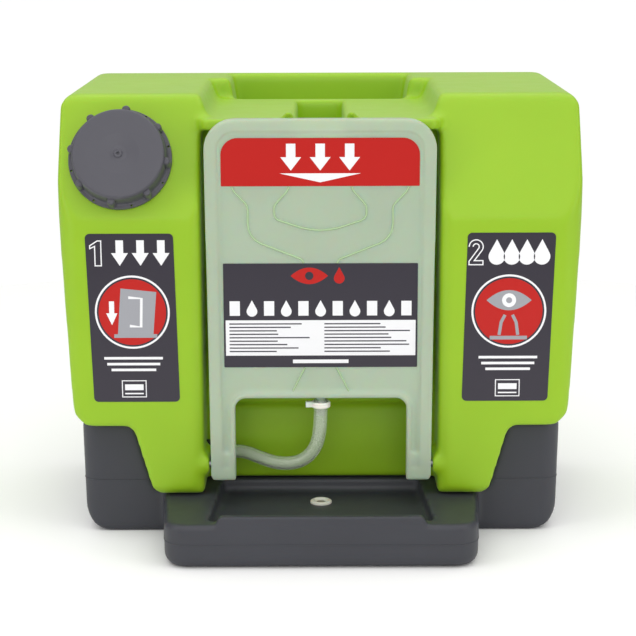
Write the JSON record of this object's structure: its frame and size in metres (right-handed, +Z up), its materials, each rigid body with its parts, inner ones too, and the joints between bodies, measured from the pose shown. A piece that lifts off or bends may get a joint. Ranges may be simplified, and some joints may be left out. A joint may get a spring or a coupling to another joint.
{
  "type": "portable eyewash station",
  "caption": "Gravity-fed portable eyewash station: a water tank with a fold-down spray manifold standing in a hollow waste base with a drain tray.",
  "frame": {"origin": "centre of the bounding box's underside, on the surface the station stands on", "axes": "+X to the right of someone facing the front, +Y towards the back, +Z up; the tray points to -Y"},
  "size_m": [0.5594, 0.4467, 0.482],
  "materials": {
    "tank_hdpe": "satin moulded",
    "base_hdpe": "satin moulded",
    "cap_plastic": "fine grain",
    "seal_rubber": "matt",
    "manifold_natural": "translucent natural",
    "head_plastic": "moulded",
    "disc_steel": "perforated",
    "hose_clear": "clear tubing",
    "clamp_nylon": "natural nylon",
    "fitting_plastic": "moulded",
    "pin_steel": "turned",
    "grommet_rubber": "soft white",
    "bung_rubber": "matt",
    "label_red": "printed film",
    "label_dark": "printed film"
  },
  "bodies": {
    "base": {"waste_base": "base_hdpe", "drain_grommet": "grommet_rubber"},
    "bung": {"waste_bung": "bung_rubber"},
    "tank": {"tank": "tank_hdpe", "outlet_fitting": "fitting_plastic", "outlet_nut": "fitting_plastic", "outlet_seal": "seal_rubber", "hose_clamp_outlet": "clamp_nylon", "hose": "hose_clear", "label_step_one": "label_dark", "label_step_two": "label_dark", "pivot_pin_left": "pin_steel", "pivot_pin_right": "pin_steel"},
    "seal": {"cap_seal": "seal_rubber"},
    "cap": {"fill_cap": "cap_plastic"},
    "manifold": {"manifold": "manifold_natural", "spray_head_left": "head_plastic", "spray_head_right": "head_plastic", "spray_seal_left": "seal_rubber", "spray_seal_right": "seal_rubber", "flow_disc_left": "disc_steel", "flow_disc_right": "disc_steel", "hose_clamp_manifold": "clamp_nylon", "label_pull": "label_red", "label_centre": "label_dark"}
  },
  "joints": [
    {"name": "tank_lift", "type": "slide", "parent": "base", "child": "tank", "axis": [0, 0, 1], "range_m": [0, 0.13]},
    {"name": "manifold_fold", "type": "hinge", "parent": "tank", "child": "manifold", "pos_m": [0, -0.1145, 0.082], "axis": [1, 0, 0], "range_deg": [0, 90], "deforming": ["hose"]},
    {"name": "cap_lift", "type": "slide", "parent": "tank", "child": "seal", "axis": [0, -0.9165, 0.4001], "range_m": [0, 0.018]},
    {"name": "cap_turn", "type": "hinge", "parent": "seal", "child": "cap", "pos_m": [-0.212, -0.1009, 0.41466], "axis": [0, -0.9165, 0.4001], "range_deg": [0, 720]},
    {"name": "bung_pull", "type": "slide", "parent": "base", "child": "bung", "axis": [0, 1, 0], "range_m": [0, 0.03]}
  ],
  "couplings": [
    {"joint": "cap_lift", "follows": "cap_turn", "m_per_rad": 0.001432}
  ]
}
